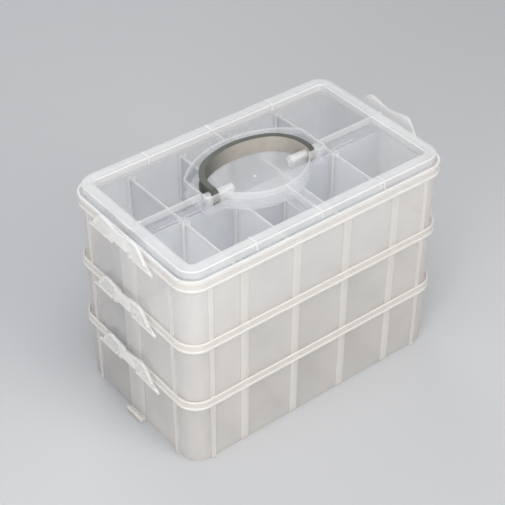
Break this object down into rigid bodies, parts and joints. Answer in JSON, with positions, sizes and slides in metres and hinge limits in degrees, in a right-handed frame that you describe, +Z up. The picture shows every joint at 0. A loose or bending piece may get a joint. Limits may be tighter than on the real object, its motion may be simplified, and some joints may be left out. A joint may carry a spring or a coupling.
{
  "type": "embroidery thread box",
  "caption": "Stacking carry box for thread: frosted nested trays with lift-out dividers, snap latches at both ends and a lid with a folding bail handle.",
  "frame": {"origin": "centre of the base, on the surface it stands on", "axes": "+X along the long side, +Y to the back, where the folded handle lies, +Z up"},
  "size_m": [0.3298, 0.19, 0.2399],
  "materials": {
    "frosted_tray": "frosted translucent polypropylene, satin outside",
    "frosted_lid": "clear to slightly milky polypropylene, smooth",
    "frosted_latch": "milky translucent polypropylene",
    "frosted_divider": "frosted translucent polypropylene",
    "grey_handle": "olive grey moulded plastic, satin",
    "white_pin": "milky white moulded plastic"
  },
  "bodies": {
    "bottom_tier": {"tray_bottom": "frosted_tray", "divider_bottom_front_1": "frosted_divider", "divider_bottom_front_2": "frosted_divider", "divider_bottom_front_3": "frosted_divider", "divider_bottom_front_4": "frosted_divider", "divider_bottom_back_1": "frosted_divider", "divider_bottom_back_2": "frosted_divider", "divider_bottom_back_3": "frosted_divider", "divider_bottom_back_4": "frosted_divider"},
    "middle_tier": {"tray_middle": "frosted_tray", "divider_middle_front_1": "frosted_divider", "divider_middle_front_2": "frosted_divider", "divider_middle_front_3": "frosted_divider", "divider_middle_front_4": "frosted_divider", "divider_middle_back_1": "frosted_divider", "divider_middle_back_2": "frosted_divider", "divider_middle_back_3": "frosted_divider", "divider_middle_back_4": "frosted_divider"},
    "top_tier": {"tray_top": "frosted_tray", "divider_top_front_1": "frosted_divider", "divider_top_front_2": "frosted_divider", "divider_top_front_3": "frosted_divider", "divider_top_front_4": "frosted_divider", "divider_top_back_1": "frosted_divider", "divider_top_back_2": "frosted_divider", "divider_top_back_3": "frosted_divider", "divider_top_back_4": "frosted_divider"},
    "lid": {"lid": "frosted_lid", "handle_pin_left": "white_pin", "handle_pin_right": "white_pin"},
    "handle": {"handle": "grey_handle"},
    "latch_left_bottom": {"latch_left_bottom": "frosted_latch"},
    "latch_left_middle": {"latch_left_middle": "frosted_latch"},
    "latch_left_top": {"latch_left_top": "frosted_latch"},
    "latch_right_bottom": {"latch_right_bottom": "frosted_latch"},
    "latch_right_middle": {"latch_right_middle": "frosted_latch"},
    "latch_right_top": {"latch_right_top": "frosted_latch"}
  },
  "joints": [
    {"name": "middle_tier_lift", "type": "slide", "parent": "bottom_tier", "child": "middle_tier", "axis": [0, 0, 1], "range_m": [0, 0.12]},
    {"name": "top_tier_lift", "type": "slide", "parent": "middle_tier", "child": "top_tier", "axis": [0, 0, 1], "range_m": [0, 0.12]},
    {"name": "lid_lift", "type": "slide", "parent": "top_tier", "child": "lid", "axis": [0, 0, 1], "range_m": [0, 0.12]},
    {"name": "handle_fold", "type": "hinge", "parent": "lid", "child": "handle", "pos_m": [0, 0, 0.2285], "axis": [1, 0, 0], "range_deg": [0, 90]},
    {"name": "latch_left_bottom_swing", "type": "hinge", "parent": "bottom_tier", "child": "latch_left_bottom", "pos_m": [-0.16, 0, 0.0726], "axis": [0, -1, 0], "range_deg": [0, 135]},
    {"name": "latch_left_middle_swing", "type": "hinge", "parent": "middle_tier", "child": "latch_left_middle", "pos_m": [-0.16, 0, 0.1446], "axis": [0, -1, 0], "range_deg": [0, 135]},
    {"name": "latch_left_top_swing", "type": "hinge", "parent": "top_tier", "child": "latch_left_top", "pos_m": [-0.16, 0, 0.2166], "axis": [0, -1, 0], "range_deg": [0, 135]},
    {"name": "latch_right_bottom_swing", "type": "hinge", "parent": "bottom_tier", "child": "latch_right_bottom", "pos_m": [0.16, 0, 0.0726], "axis": [0, 1, 0], "range_deg": [0, 135]},
    {"name": "latch_right_middle_swing", "type": "hinge", "parent": "middle_tier", "child": "latch_right_middle", "pos_m": [0.16, 0, 0.1446], "axis": [0, 1, 0], "range_deg": [0, 135]},
    {"name": "latch_right_top_swing", "type": "hinge", "parent": "top_tier", "child": "latch_right_top", "pos_m": [0.16, 0, 0.2166], "axis": [0, 1, 0], "range_deg": [0, 135]}
  ]
}
